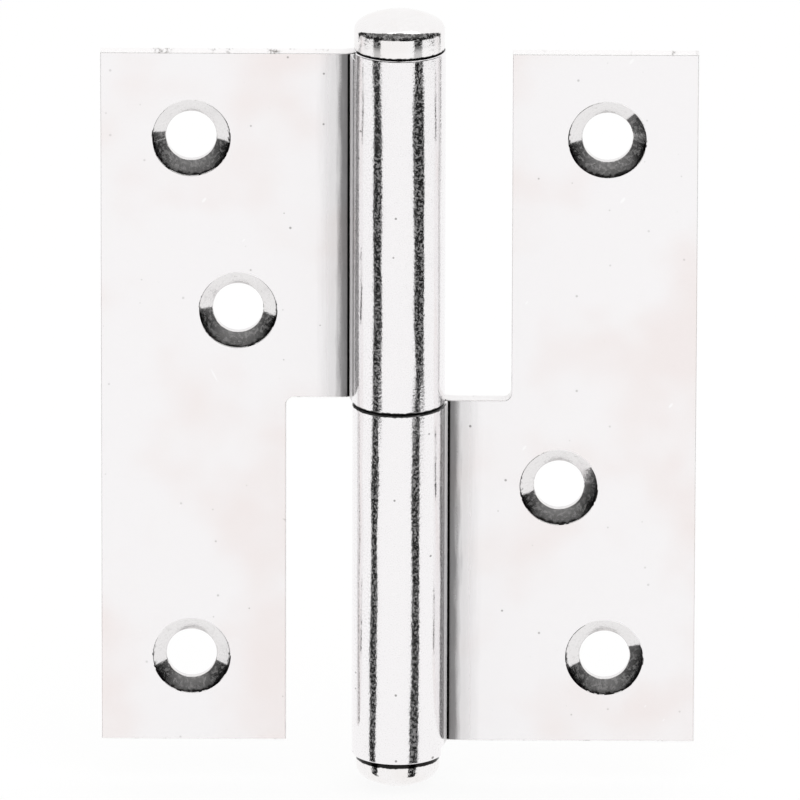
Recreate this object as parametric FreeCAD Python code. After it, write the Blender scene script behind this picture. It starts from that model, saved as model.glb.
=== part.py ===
"""Lift-off hinge for a door or shutter: two stamped steel leaves, a fixed pin and a top cap.

Frame: the origin is on the pin axis at mid height, +Z runs up the pin, +X points to the frame leaf and
-Y to the side the screws go in from. The leaves lie open and flat, and the door leaf lifts off upwards.
All lengths are in millimetres and all angles in degrees.
"""
import FreeCAD, Part
import math
import os

Vector = FreeCAD.Vector

# Leaf blank: both leaves are the same stamping, one of them turned half a turn about Y
LEAF_HEIGHT = 100.0
LEAF_REACH = 41.5         # from the pin axis to the outer edge
NOTCH_REACH = 15.7        # from the pin axis to the upright edge of the notch
NOTCH_RADIUS = 1.1        # inner corner of the notch
SHEET = 2.4               # sheet thickness
SET_BACK = 1.6            # from the pin axis back to the front face of the leaf

# Rolled knuckle
PIN_RADIUS = 4.0
RUNNING_CLEARANCE = 0.05  # between pin and bore, all round
JOGGLE_ANGLE = 20.0       # the sheet leans back by this much before it meets the roll
JOGGLE_RADIUS = 4.0       # reverse bend at the middle of the sheet
ROLL_END_ANGLE = 348.0    # where the round part of the roll stops, from +X round by the back
ROLL_GAP = 0.45           # between the sheared end of the roll and the leaf
KNUCKLE_PROUD = 1.1       # the knuckle stands this far past the leaf's end
KNUCKLE_GAP = 0.3         # open seam between the two knuckles
KNUCKLE_EDGE = 0.4        # bevel on the knuckle's outer end edges

# Screw holes, countersunk from the front
HOLE_RADIUS = 3.5
SINK_RADIUS = 5.45
SINK_DEPTH = 1.3
OUTER_HOLE_REACH = 28.9   # the two outer holes, from the pin axis
OUTER_HOLE_PITCH = 75.4   # between the two outer holes
MIDDLE_HOLE_REACH = 22.4
MIDDLE_HOLE_RISE = 12.8   # from mid height towards the leaf's knuckle

# Top cap: a domed button on a spigot
CAP_RADIUS = 6.3
CAP_WALL = 2.75           # from the knuckle's end to the top of the straight side
CAP_ROUND = 1.5
CAP_DOME_HEIGHT = 2.75    # from the straight side up to the crown
SPIGOT_CHAMFER = 0.5

# Pin: a domed head under the lower knuckle
HEAD_RADIUS = 5.85
HEAD_WALL = 1.6           # from the knuckle's end to the end of the straight side
HEAD_ROUND = 2.0
HEAD_DOME_HEIGHT = 3.2
FOOT_CHAMFER = 0.25       # on the edge that the cap and the head set against the knuckle
PIN_TIP_DEPTH = 7.0       # from the upper knuckle's end down to the tip of the pin
PIN_TIP_CHAMFER = 0.8

# Sizes that follow
BORE_RADIUS = PIN_RADIUS + RUNNING_CLEARANCE
KNUCKLE_RADIUS = BORE_RADIUS + SHEET
HALF_HEIGHT = LEAF_HEIGHT / 2
KNUCKLE_END = HALF_HEIGHT + KNUCKLE_PROUD
SEAM = KNUCKLE_GAP / 2
BACK_FACE = SET_BACK + SHEET
OVERSHOOT = 5.0           # how far a cutting solid reaches past what it cuts


def polar(radius, angle, centre=(0.0, 0.0)):
    """Point in the section plane at an angle from +X."""
    turn = math.radians(angle)
    return (centre[0] + radius * math.cos(turn), centre[1] + radius * math.sin(turn))


def line(a, b):
    """Straight edge between two section points."""
    return Part.LineSegment(Vector(*a, 0), Vector(*b, 0)).toShape()


def arc(radius, start, end, centre=(0.0, 0.0)):
    """Round edge about a centre, between two angles."""
    stops = [Vector(*polar(radius, angle, centre), 0) for angle in (start, (start + end) / 2, end)]
    return Part.Arc(*stops).toShape()


def roll_section():
    """Face of the bent sheet: flat leaf, joggle, roll round the pin and the sheared end of the roll."""
    lean = math.radians(JOGGLE_ANGLE)
    middle_radius = BORE_RADIUS + SHEET / 2
    middle_line = SET_BACK + SHEET / 2
    corner = (middle_radius - middle_line * math.cos(lean)) / math.sin(lean)
    bend_start = corner + JOGGLE_RADIUS * math.tan(lean / 2)
    bend_centre = (bend_start, middle_line + JOGGLE_RADIUS)
    meet_angle = 90.0 - JOGGLE_ANGLE
    bend_angles = (-90.0, -90.0 - JOGGLE_ANGLE)

    # The roll's last stretch runs straight until it is one gap away from the leaning sheet
    end_turn = math.radians(ROLL_END_ANGLE)
    heading = (-math.sin(end_turn), math.cos(end_turn))
    normal = (math.sin(lean), math.cos(lean))
    outer_stop = polar(KNUCKLE_RADIUS, ROLL_END_ANGLE)
    reach = normal[0] * outer_stop[0] + normal[1] * outer_stop[1]
    slope = normal[0] * heading[0] + normal[1] * heading[1]
    straight = (BORE_RADIUS - ROLL_GAP - reach) / slope

    def side(face_line, bend_radius, ring_radius):
        """Edges of one face of the sheet, from the leaf's outer edge to the end of the roll."""
        bend = [polar(bend_radius, angle, bend_centre) for angle in bend_angles]
        ring_start = polar(ring_radius, meet_angle)
        ring_end = polar(ring_radius, ROLL_END_ANGLE)
        tip = (ring_end[0] + straight * heading[0], ring_end[1] + straight * heading[1])
        edges = [
            line((LEAF_REACH, face_line), bend[0]),
            arc(bend_radius, *bend_angles, bend_centre),
            line(bend[1], ring_start),
            arc(ring_radius, meet_angle, ROLL_END_ANGLE),
            line(ring_end, tip),
        ]
        return edges, tip

    front, front_tip = side(SET_BACK, JOGGLE_RADIUS + SHEET / 2, BORE_RADIUS)
    back, back_tip = side(BACK_FACE, JOGGLE_RADIUS - SHEET / 2, KNUCKLE_RADIUS)
    outer_edge = line((LEAF_REACH, SET_BACK), (LEAF_REACH, BACK_FACE))
    sheared_end = line(front_tip, back_tip)
    wire = Part.Wire(Part.sortEdges(front + [sheared_end] + back + [outer_edge])[0])
    return Part.Face(wire)


def block(low, high):
    """Box between two corners."""
    size = [top - bottom for bottom, top in zip(low, high)]
    return Part.makeBox(*size, Vector(*low))


def notch_cutter():
    """What the blank leaves open above its half-height tongue, with the inner corner rounded."""
    far = KNUCKLE_RADIUS + BACK_FACE + OVERSHOOT
    cutter = block((-far, -far, -SEAM), (NOTCH_REACH, far, KNUCKLE_END + OVERSHOOT))
    inner_corner = [
        edge for edge in cutter.Edges
        if all(abs(v.X - NOTCH_REACH) < 1e-6 and abs(v.Z + SEAM) < 1e-6 for v in edge.Vertexes)
    ]
    return cutter.makeFillet(NOTCH_RADIUS, inner_corner)


def knuckle_edges(solid, levels):
    """Outer edges of the round part of the knuckle at the given heights."""
    found = []
    for edge in solid.Edges:
        curve = edge.Curve
        if isinstance(curve, Part.Circle) and abs(curve.Radius - KNUCKLE_RADIUS) < 1e-6:
            if any(abs(curve.Center.z - level) < 1e-6 for level in levels):
                found.append(edge)
    return found


def screw_hole(reach, height):
    """Clearance hole with a shallow countersink, drilled from the front."""
    inward = Vector(0, 1, 0)
    mouth = Vector(reach, SET_BACK, height)
    hole = Part.makeCylinder(HOLE_RADIUS, SHEET + 2 * OVERSHOOT, mouth - inward * OVERSHOOT, inward)
    sink = Part.makeCone(SINK_RADIUS, HOLE_RADIUS, SINK_DEPTH, mouth, inward)
    return hole.fuse(sink)


def leaf_blank():
    """The frame leaf: its tongue and knuckle take the lower half, on the +X side."""
    full = roll_section().extrude(Vector(0, 0, 2 * KNUCKLE_END))
    full.translate(Vector(0, 0, -KNUCKLE_END))
    # Past the leaf's ends only the round of the knuckle is left standing
    collar_flat = KNUCKLE_RADIUS * math.cos(math.radians(JOGGLE_ANGLE))
    far = LEAF_REACH + OVERSHOOT
    depth = KNUCKLE_RADIUS + BACK_FACE + OVERSHOOT
    below = block((collar_flat, -depth, -KNUCKLE_END - OVERSHOOT), (far, depth, -HALF_HEIGHT))
    above = block((collar_flat, -depth, HALF_HEIGHT), (far, depth, KNUCKLE_END + OVERSHOOT))
    leaf = full.cut([below, above, notch_cutter()])
    leaf = leaf.makeChamfer(KNUCKLE_EDGE, knuckle_edges(leaf, (-KNUCKLE_END, -SEAM)))
    half_pitch = OUTER_HOLE_PITCH / 2
    holes = [
        screw_hole(OUTER_HOLE_REACH, half_pitch),
        screw_hole(OUTER_HOLE_REACH, -half_pitch),
        screw_hole(MIDDLE_HOLE_REACH, -MIDDLE_HOLE_RISE),
    ]
    return leaf.cut(holes)


def half_turn_about_y(shape):
    """Copy of a shape turned half a turn about the Y axis."""
    copy = shape.copy()
    copy.rotate(Vector(0, 0, 0), Vector(0, 1, 0), 180)
    return copy


def turned(profile):
    """Solid turned about Z from edges in the XZ plane that start and end on the axis."""
    wire = Part.Wire(profile)
    axis_edge = Part.makeLine(wire.OrderedVertexes[-1].Point, wire.OrderedVertexes[0].Point)
    face = Part.Face(Part.Wire([*wire.OrderedEdges, axis_edge]))
    return face.revolve(Vector(0, 0, 0), Vector(0, 0, 1), 360)


def profile_arc(centre, radius, start, end):
    """Round edge in the XZ plane about a centre (x, z), between two angles from +X."""
    stops = [polar(radius, angle, centre) for angle in (start, (start + end) / 2, end)]
    return Part.Arc(*[Vector(x, 0, z) for x, z in stops]).toShape()


def dome_edges(radius, base, height, shoulder):
    """Round shoulder and flatter crown of a button, tangent to each other, up to the axis."""
    shoulder_centre = (radius - shoulder, base)
    reach = radius - shoulder
    crown = (reach ** 2 + height ** 2 - shoulder ** 2) / (2 * (height - shoulder))
    crown_centre = (0.0, base + height - crown)
    meet_angle = math.degrees(math.atan2(base - crown_centre[1], reach))
    return [
        profile_arc(shoulder_centre, shoulder, 0.0, meet_angle),
        profile_arc(crown_centre, crown, meet_angle, 90.0),
    ]


def stem_points(radius, length, chamfer):
    """Half profile of a stem below z = 0, from its chamfered end on the axis up to its root."""
    return [(0, -length), (radius - chamfer, -length), (radius, -length + chamfer), (radius, 0)]


def polyline(points):
    """Straight edges in the XZ plane through the points in order."""
    stops = [Vector(x, 0, z) for x, z in points]
    return [Part.makeLine(a, b) for a, b in zip(stops, stops[1:])]


def headed_stem(stem, radius, wall, height, shoulder):
    """Solid turned from a stem below z = 0 and a straight-sided, domed head that stands on it."""
    foot = [(radius - FOOT_CHAMFER, 0), (radius, FOOT_CHAMFER)]
    edges = polyline(stem + foot + [(radius, wall)])
    return turned(edges + dome_edges(radius, wall, height, shoulder))


def top_cap():
    """Cap pressed into the upper knuckle: the end of its spigot rides on the tip of the pin."""
    spigot = stem_points(BORE_RADIUS, PIN_TIP_DEPTH, SPIGOT_CHAMFER)
    cap = headed_stem(spigot, CAP_RADIUS, CAP_WALL, CAP_DOME_HEIGHT, CAP_ROUND)
    cap.translate(Vector(0, 0, KNUCKLE_END))
    return cap


def hinge_pin():
    """Fixed pin: its domed head closes the lower knuckle and its shank stands up through both."""
    shank = stem_points(PIN_RADIUS, 2 * KNUCKLE_END - PIN_TIP_DEPTH, PIN_TIP_CHAMFER)
    pin = headed_stem(shank, HEAD_RADIUS, HEAD_WALL, HEAD_DOME_HEIGHT, HEAD_ROUND)
    pin = half_turn_about_y(pin)
    pin.translate(Vector(0, 0, -KNUCKLE_END))
    return pin


def main():
    """Build every piece and write one STEP file for each."""
    frame_leaf = leaf_blank()
    pieces = {
        "frame_leaf": frame_leaf,
        "door_leaf": half_turn_about_y(frame_leaf),
        "hinge_pin": hinge_pin(),
        "top_cap": top_cap(),
    }
    os.makedirs("parts", exist_ok=True)
    for name, shape in pieces.items():
        solid = shape.Solids[0]
        print(name, len(shape.Solids), shape.isValid(), round(solid.Volume, 2), shape.BoundBox)
        shape.exportStep(os.path.join("parts", name + ".step"))


main()
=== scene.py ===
"""Looks of a lift-off hinge: bright zinc plate on two stamped leaves, a pin and a top cap.

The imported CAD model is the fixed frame. Its facetted nodes are shown by smooth pieces of the same sizes,
with rounded sheared edges and countersinks, and the whole is set in a white studio.
Mesh code works in millimetres and hands over metres.
"""
import logging
import math
from collections.abc import Callable
from dataclasses import dataclass
from enum import Enum
from functools import partial

import bmesh
import bpy
from mathutils import Matrix, Vector


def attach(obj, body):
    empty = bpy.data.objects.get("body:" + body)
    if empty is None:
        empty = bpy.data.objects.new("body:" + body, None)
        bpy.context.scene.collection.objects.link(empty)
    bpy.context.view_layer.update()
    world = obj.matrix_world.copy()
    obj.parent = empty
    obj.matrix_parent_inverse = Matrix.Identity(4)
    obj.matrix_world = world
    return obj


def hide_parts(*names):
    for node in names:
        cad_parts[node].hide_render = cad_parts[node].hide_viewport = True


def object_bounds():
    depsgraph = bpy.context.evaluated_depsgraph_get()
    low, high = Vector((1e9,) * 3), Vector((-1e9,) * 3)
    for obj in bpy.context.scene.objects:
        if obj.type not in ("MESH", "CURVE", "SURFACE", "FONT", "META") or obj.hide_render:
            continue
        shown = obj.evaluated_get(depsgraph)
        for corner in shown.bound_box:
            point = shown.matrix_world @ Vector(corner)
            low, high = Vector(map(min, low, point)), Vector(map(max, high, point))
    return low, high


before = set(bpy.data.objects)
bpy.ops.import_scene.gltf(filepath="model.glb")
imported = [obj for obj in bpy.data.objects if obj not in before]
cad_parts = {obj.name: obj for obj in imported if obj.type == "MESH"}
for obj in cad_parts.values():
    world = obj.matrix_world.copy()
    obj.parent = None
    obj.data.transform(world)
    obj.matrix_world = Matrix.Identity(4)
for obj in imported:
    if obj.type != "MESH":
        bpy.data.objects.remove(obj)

CAD_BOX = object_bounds()
LOG = logging.getLogger("hinge")
MM = 0.001
IMAGE_SIDE = 800
LIP_NAME = "lip"
# Colour of painted shade: the groove by the roll, the seams between the knuckles, the countersinks' lower
# mouths, and where cap and head meet the knuckle
SHADE_COLOUR = "#0f0e0d"

# Sizes in millimetres that several pieces and finishes share
SHEET = 2.4
SET_BACK = 1.6
BORE_RADIUS = 4.05
ROLL_RADIUS = BORE_RADIUS + SHEET
KNUCKLE_END = 51.1

Socket = bpy.types.NodeSocket
Value = Socket | float
Point = tuple[float, float]
Triple = tuple[float, float, float]
Colour = tuple[float, float, float, float]


class Slot(Enum):
    """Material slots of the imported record."""

    LEAF = "zinc_plated_leaf"
    PIN = "zinc_plated_pin"


class Side(Enum):
    """Which of the two equal leaves a piece is."""

    FRAME = "frame_leaf"
    DOOR = "door_leaf"


class Step(Enum):
    """Nodes that the finishes chain: type, options, inputs in the order they are filled, output."""

    ADD = ("ShaderNodeMath", {"operation": "ADD"}, (0, 1), 0)
    SUBTRACT = ("ShaderNodeMath", {"operation": "SUBTRACT"}, (0, 1), 0)
    MULTIPLY = ("ShaderNodeMath", {"operation": "MULTIPLY"}, (0, 1), 0)
    LARGER = ("ShaderNodeMath", {"operation": "MAXIMUM"}, (0, 1), 0)
    ABOVE = ("ShaderNodeMath", {"operation": "GREATER_THAN"}, (0, 1), 0)
    BELOW = ("ShaderNodeMath", {"operation": "LESS_THAN"}, (0, 1), 0)
    POWER = ("ShaderNodeMath", {"operation": "POWER"}, (0, 1), 0)
    ROOT = ("ShaderNodeMath", {"operation": "SQRT"}, (0,), 0)
    ABSOLUTE = ("ShaderNodeMath", {"operation": "ABSOLUTE"}, (0,), 0)
    SIGN = ("ShaderNodeMath", {"operation": "SIGN"}, (0,), 0)
    RAMP = ("ShaderNodeMapRange", {"interpolation_type": "SMOOTHSTEP"},
            ("Value", "From Min", "From Max", "To Min", "To Max"), 0)
    BLEND = ("ShaderNodeMix", {"data_type": "RGBA"}, (0, 6, 7), 2)
    BUMP = ("ShaderNodeBump", {}, ("Height", "Distance", "Normal"), 0)

    def __init__(self, kind: str, options: dict[str, str], fills: tuple, output: int) -> None:
        """Keeps the parts of a member under their own names.

        Args:
            kind: Blender's type name of the node.
            options: options of the node itself.
            fills: names or indices of the inputs, in the order they are filled.
            output: index of the output that the next step reads.
        """
        self.kind = kind
        self.options = options
        self.fills = fills
        self.output = output


def linear(colour: str) -> Colour:
    """Turns an sRGB hex colour into linear light.

    Args:
        colour: six hex digits after a hash.
    Returns:
        Red, green, blue and an alpha of 1.
    """
    parts = [int(colour[i:i + 2], 16) / 255 for i in (1, 3, 5)]
    light = [p / 12.92 if p <= 0.04045 else ((p + 0.055) / 1.055) ** 2.4 for p in parts]
    return (light[0], light[1], light[2], 1.0)


def add_node(tree: bpy.types.NodeTree, kind: str, inputs: dict | None = None,
             **settings: object) -> bpy.types.Node:
    """Adds a node, sets its options, and fills or links its inputs.

    Args:
        tree: node tree that takes the node.
        kind: Blender's type name of the node.
        inputs: a value or an output socket for each input, by name or index.
        settings: options of the node itself.
    Returns:
        The new node.
    """
    node = tree.nodes.new(kind)
    for name, value in settings.items():
        setattr(node, name, value)
    for name, value in (inputs or {}).items():
        if isinstance(value, Socket):
            tree.links.new(value, node.inputs[name])
        else:
            node.inputs[name].default_value = value
    return node


@dataclass(frozen=True)
class Flecks:
    """Flecks over a leaf's face, at most one in each cell of the pattern, in millimetres and radians."""

    pitch: float
    size: float
    share: float
    length: float = 1.0
    turn: float = 0.0
    shift: float = 0.0
    edge: float = 0.05


class NodeCanvas:
    """A material's node tree, with the patterns that several finishes share."""

    # Ends of the noise that make an edge wander or a roughness vary, how much it varies, noise's fall-off
    EDGE_BAND: Point = (0.2, 0.8)
    ROUGH_BAND: Point = (0.3, 0.7)
    ROUGH_SPREAD: Point = (-0.02, 0.03)
    NOISE_FALL: float = 0.55

    def __init__(self, name: str) -> None:
        """Starts a tree that measures in the piece's own millimetres.

        Args:
            name: name of the material.
        """
        self.material = bpy.data.materials.new(name)
        self.material.use_nodes = True
        self.tree = self.material.node_tree
        self.tree.nodes.clear()
        place = add_node(self.tree, "ShaderNodeTexCoord").outputs["Object"]
        scaled = {"Vector": place, "Scale": (1 / MM, 1 / MM, 1 / MM)}
        self.point = add_node(self.tree, "ShaderNodeMapping", scaled).outputs["Vector"]

    def add(self, step: Step, *values: Value | Colour) -> Socket:
        """Adds one step, which reads numbers, colours or earlier steps in the order of its inputs."""
        node = add_node(self.tree, step.kind, dict(zip(step.fills, values)), **step.options)
        return node.outputs[step.output]

    def axes(self) -> dict[str, Socket]:
        """Returns the piece's own X, Y and Z in millimetres."""
        parts = add_node(self.tree, "ShaderNodeSeparateXYZ", {"Vector": self.point})
        return {socket.name: socket for socket in parts.outputs}

    def radius(self, axes: dict[str, Socket]) -> Socket:
        """Returns the distance from the pin axis in millimetres."""
        squares = [self.add(Step.POWER, axes[name], 2.0) for name in ("X", "Y")]
        return self.add(Step.ROOT, self.add(Step.ADD, *squares))

    def blobs(self, size: float | Triple, detail: float, shift: Triple = (0.0, 0.0, 0.0)) -> Socket:
        """Adds noise whose blobs have a real size.

        Args:
            size: size of a blob in millimetres, one number or one for each axis.
            detail: octaves of finer noise.
            shift: offset of the pattern, in millimetres.
        Returns:
            The noise value, about 0.5 in the middle.
        """
        sizes = (size,) * 3 if isinstance(size, float) else size
        place = {"Vector": self.point, "Location": shift, "Scale": sizes}
        spot = add_node(self.tree, "ShaderNodeMapping", place, vector_type="TEXTURE")
        look = {"Vector": spot.outputs["Vector"], "Scale": 1.0, "Detail": detail,
                "Roughness": self.NOISE_FALL}
        return add_node(self.tree, "ShaderNodeTexNoise", look).outputs["Fac"]

    def ragged(self, measure: Socket, size: float | Triple, amount: float) -> Socket:
        """Lets a measure wander from place to place, so that an edge drawn from it isn't straight.

        Args:
            measure: the even measure.
            size: size of the pattern's blobs, in millimetres.
            amount: how far it wanders to either side.
        Returns:
            The uneven measure.
        """
        wander = self.add(Step.RAMP, self.blobs(size, detail=3.0), *self.EDGE_BAND, -amount, amount)
        return self.add(Step.ADD, measure, wander)

    def uneven(self, roughness: float, size: float, detail: float) -> Socket:
        """Lets a roughness vary a little, from slightly smoother to slightly duller patches.

        Args:
            roughness: the middle value.
            size: size of a patch, in millimetres.
            detail: octaves of finer patches.
        Returns:
            The uneven roughness.
        """
        low, high = (roughness + spread for spread in self.ROUGH_SPREAD)
        return self.add(Step.RAMP, self.blobs(size, detail), *self.ROUGH_BAND, low, high)

    def flecks(self, look: Flecks) -> Socket:
        """Scatters flecks over the leaf's face.

        Args:
            look: size, spacing and direction of the flecks.
        Returns:
            1 inside a fleck and 0 outside.
        """
        place = {"Vector": self.point, "Rotation": (-math.pi / 2, look.turn, 0.0),
                 "Location": (look.shift, 0.0, look.shift),
                 "Scale": (look.length * look.pitch, look.pitch, look.pitch)}
        spot = add_node(self.tree, "ShaderNodeMapping", place, vector_type="TEXTURE")
        pattern = {"Vector": spot.outputs["Vector"], "Scale": 1.0}
        cell = add_node(self.tree, "ShaderNodeTexVoronoi", pattern, voronoi_dimensions="2D")
        chance = add_node(self.tree, "ShaderNodeSeparateColor", {"Color": cell.outputs["Color"]})
        size = self.add(Step.RAMP, chance.outputs["Red"], 1.0 - look.share, 1.0, 0.0, look.size)
        near = self.add(Step.MULTIPLY, cell.outputs["Distance"], look.pitch)
        return self.add(Step.RAMP, self.add(Step.SUBTRACT, near, size), -look.edge, look.edge, 1.0, 0.0)

    def metal(self, colour: Socket, roughness: Value, normal: Socket,
              matt: Value = 0.0) -> bpy.types.Material:
        """Closes the tree with a metal surface.

        Args:
            colour: colour of the plate, with its grime.
            roughness: blur of its reflections.
            normal: shading normal.
            matt: share of the surface that is scuffed and scatters light as a matt one does.
        Returns:
            The finished material.
        """
        metallic = 1.0 - matt if isinstance(matt, float) else self.add(Step.SUBTRACT, 1.0, matt)
        sockets = {"Base Color": colour, "Metallic": metallic, "Roughness": roughness, "Normal": normal}
        surface = add_node(self.tree, "ShaderNodeBsdfPrincipled", sockets)
        add_node(self.tree, "ShaderNodeOutputMaterial", {"Surface": surface.outputs["BSDF"]})
        return self.material


@dataclass(frozen=True)
class ZincSheet:
    """Bright zinc plate on cold-rolled steel sheet; names in _mm are sizes, pairs are the ends of a ramp."""

    # To the eye: nearly a mirror under a thin satin veil on the flat leaf, broken up into grain on the roll.
    # Real plating grain is under 0.1 mm, and here it is drawn as coarse as it needs to show.
    name: str = "zinc_plate_on_rolled_sheet"
    colour: str = "#f5f3f4"
    blush: str = "#f1eae9"
    speck: str = "#5c5957"
    bright: str = "#fdfdfd"
    mottle_mm: float = 24.0
    mottle_band: Point = (0.45, 0.68)
    specks: Flecks = Flecks(pitch=5.0, size=0.17, share=0.4)
    speck_reach_mm: Point = (9.0, 34.0)
    speck_share: Point = (0.7, 0.25)
    dashes: Flecks = Flecks(pitch=11.0, size=0.15, share=0.25, length=6.0, turn=0.5, shift=3.0)
    dash_share: float = 0.4
    short_nicks: Flecks = Flecks(pitch=7.0, size=0.2, share=0.3, length=2.5, turn=-0.9, shift=5.0)
    long_nicks: Flecks = Flecks(pitch=13.0, size=0.14, share=0.3, length=9.0, turn=1.1, shift=8.0)
    nick_share: float = 0.75
    roughness: float = 0.05
    patch_mm: float = 2.5
    shade_and_scuff_roughness: float = 0.35
    grain_mm: float = 0.35
    grain_depth_mm: float = 0.011
    wave_mm: Triple = (4.0, 4.0, 9.0)
    wave_depth_mm: float = 0.1
    pit_shift_mm: Triple = (3.0, 5.0, 7.0)
    pit_band: Point = (0.52, 0.572)
    pit_share: float = 0.22
    haze_mm: float = 0.08
    haze_band: Point = (0.6, 0.64)
    haze_roughness: float = 0.15
    flat_calm: float = 0.75
    satin_share: float = 0.3
    scuff_share: float = 0.7
    # Painted shade beside the roll's end: a black groove, a band over the bend, its fading edge, and how
    # they wander
    groove_mm: float = 7.25
    bend_shade_mm: float = 9.5
    bend_shade_share: float = 0.72
    fade_mm: float = 11.9
    fade_share: float = 0.18
    wander_mm: float = 0.25
    streak_mm: Triple = (0.6, 0.6, 7.0)
    # Painted shade along the seam between the knuckles: where it fades out and how dark it is
    seam_mm: Point = (0.24, 0.4)
    seam_share: float = 0.9

    def groove(self, n: NodeCanvas, reach: Socket, depth: Socket) -> tuple[Socket, Socket]:
        """Finds where painted shade lies beside the end of the roll, in the deep corner under it.

        Args:
            n: the material's canvas.
            reach: distance from the pin axis towards the leaf's own side.
            depth: distance behind the pin axis.
        Returns:
            How strong the painted shade is: black in the groove, a band over the bend that stands for its
                shade and its reflection of the knuckle, then a fading edge.
            Then where the roll's scuffed end lies.
        """
        # Painted shade and painted reflection: the groove and the bend beside the roll's end are darkened in
        # colour where they lie in shade
        ragged = n.ragged(reach, self.streak_mm, self.wander_mm)
        dark_spread = n.add(Step.RAMP, ragged, self.groove_mm + 0.4, self.bend_shade_mm, self.bend_shade_share, 0.0)
        fading_shade = n.add(Step.RAMP, ragged, self.bend_shade_mm - 0.6, self.fade_mm, self.fade_share, 0.0)
        black = n.add(Step.RAMP, reach, self.groove_mm - 0.1, self.groove_mm + 0.1, 1.0, 0.0)
        darkness = n.add(Step.LARGER, n.add(Step.LARGER, dark_spread, fading_shade), black)
        behind_front = n.add(Step.RAMP, depth, SET_BACK - 0.18, SET_BACK - 0.1)
        before_back = n.add(Step.RAMP, depth, SET_BACK + 1.4, SET_BACK + 1.7, 1.0, 0.0)
        on_leaf = n.add(Step.MULTIPLY, darkness, n.add(Step.MULTIPLY, behind_front, before_back))
        painted_shade = n.add(Step.MULTIPLY, on_leaf, n.add(Step.ABOVE, reach, 0.0))
        past_roll = n.add(Step.RAMP, reach, ROLL_RADIUS - 0.05, ROLL_RADIUS + 0.05)
        in_front = n.add(Step.RAMP, depth, SET_BACK - 0.24, SET_BACK - 0.18, 1.0, 0.0)
        return painted_shade, n.add(Step.MULTIPLY, past_roll, in_front)

    def plate(self, n: NodeCanvas, radius: Socket, flat: Socket) -> Socket:
        """Colours the clean plate.

        Args:
            n: the material's canvas.
            radius: distance from the pin axis.
            flat: 1 on the flat leaf and 0 on the roll.
        Returns:
            Its colour with faint blush, dark specks and bright nicks.
        """
        mottle = n.add(Step.RAMP, n.blobs(self.mottle_mm, detail=3.0), *self.mottle_band)
        blush = n.add(Step.MULTIPLY, mottle, flat)
        colour = n.add(Step.BLEND, blush, linear(self.colour), linear(self.blush))
        thinning = n.add(Step.RAMP, radius, *self.speck_reach_mm, *self.speck_share)
        specks = n.add(Step.MULTIPLY, n.flecks(self.specks), thinning)
        dashes = n.add(Step.MULTIPLY, n.flecks(self.dashes), n.add(Step.MULTIPLY, flat, self.dash_share))
        colour = n.add(Step.BLEND, n.add(Step.LARGER, specks, dashes), colour, linear(self.speck))
        nicks = n.add(Step.LARGER, n.flecks(self.short_nicks), n.flecks(self.long_nicks))
        return n.add(Step.BLEND, n.add(Step.MULTIPLY, nicks, self.nick_share), colour, linear(self.bright))

    def build(self) -> bpy.types.Material:
        """Builds the finish: faint blush, fine grain, a few nicks and specks, and painted shade by the roll
        and at the seam between the knuckles.

        Returns:
            The finished material.
        """
        n = NodeCanvas(self.name)
        axes = n.axes()
        radius = n.radius(axes)
        flat = n.add(Step.RAMP, radius, ROLL_RADIUS + 0.2, ROLL_RADIUS + 1.0)
        to_frame = n.add(Step.MULTIPLY, axes["X"], n.add(Step.SIGN, axes["Z"]))
        reach = n.add(Step.MULTIPLY, to_frame, -1.0)
        painted_shade, scuff = self.groove(n, reach, axes["Y"])
        # Painted shade: a dark band on the roll next to the seam between the two knuckles
        away = n.ragged(n.add(Step.ABSOLUTE, axes["Z"]), size=0.7, amount=0.12)
        on_roll = n.add(Step.BELOW, radius, ROLL_RADIUS + 0.15)
        seam = n.add(Step.MULTIPLY, n.add(Step.RAMP, away, *self.seam_mm, self.seam_share, 0.0), on_roll)
        painted_shade = n.add(Step.LARGER, painted_shade, seam)
        # Both painted shades go into the plate's colour here
        colour = n.add(Step.BLEND, painted_shade, self.plate(n, radius, flat), linear(SHADE_COLOUR))
        # Rolling has stretched the knuckle's skin, so it is pitted and grained more than the flat leaf
        stretch = n.add(Step.SUBTRACT, 1.0, n.add(Step.MULTIPLY, flat, self.flat_calm))
        # Rougher where the painted shade and the scuffed roll end lie
        shade_and_scuff_rough = n.add(Step.MULTIPLY, n.add(Step.LARGER, painted_shade, scuff), self.shade_and_scuff_roughness)
        rough = n.add(Step.ADD, n.uneven(self.roughness, self.patch_mm, detail=4.0), shade_and_scuff_rough)
        haze = n.add(Step.RAMP, n.blobs(self.haze_mm, detail=0.0), *self.haze_band, 0.0, self.haze_roughness)
        rough = n.add(Step.ADD, rough, n.add(Step.MULTIPLY, haze, stretch))
        pitting = n.blobs(self.grain_mm, detail=1.0, shift=self.pit_shift_mm)
        pits = n.add(Step.RAMP, pitting, *self.pit_band, 0.0, self.pit_share)
        scuffed = n.add(Step.MULTIPLY, scuff, self.scuff_share)
        bare = n.add(Step.LARGER, n.add(Step.MULTIPLY, pits, stretch), scuffed)
        bare = n.add(Step.LARGER, bare, n.add(Step.MULTIPLY, flat, self.satin_share))
        matt = n.add(Step.MULTIPLY, bare, n.add(Step.SUBTRACT, 1.0, painted_shade))
        fine = n.add(Step.MULTIPLY, n.blobs(self.grain_mm, detail=2.0), stretch)
        grain = n.add(Step.BUMP, fine, self.grain_depth_mm * MM)
        broad = n.add(Step.MULTIPLY, n.blobs(self.wave_mm, detail=0.0), stretch)
        wave = n.add(Step.BUMP, broad, self.wave_depth_mm * MM, grain)
        return n.metal(colour, rough, wave, matt)


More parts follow.
